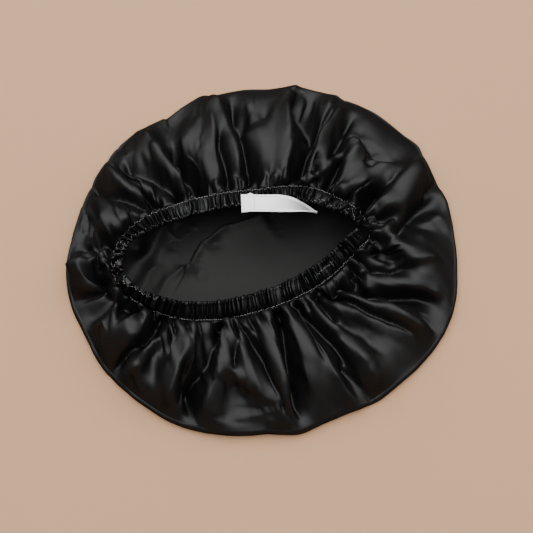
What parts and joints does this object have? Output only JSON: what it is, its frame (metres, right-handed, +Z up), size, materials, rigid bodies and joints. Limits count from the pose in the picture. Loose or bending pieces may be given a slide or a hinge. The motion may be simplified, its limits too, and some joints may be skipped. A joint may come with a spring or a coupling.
{
  "type": "sleep bonnet",
  "caption": "Black satin sleep bonnet lying crown down as a puffed, folded ring around an open gathered elastic mouth, with a blank white ribbon label",
  "frame": {"origin": "On the surface the bonnet lies on, under the middle of its outline seen from above", "axes": "+Z is up, out of the mouth. +X runs along the longest extent, towards the rounder end of the mouth. +Y runs towards the side with the label."},
  "size_m": [0.3518, 0.3367, 0.0543],
  "materials": {
    "satin": "glossy black satin weave",
    "casing": "black satin gathered over elastic",
    "ribbon": "white satin ribbon, blank"
  },
  "bodies": {
    "root": {"crown": "satin", "band": "casing", "label": "ribbon"}
  },
  "joints": []
}
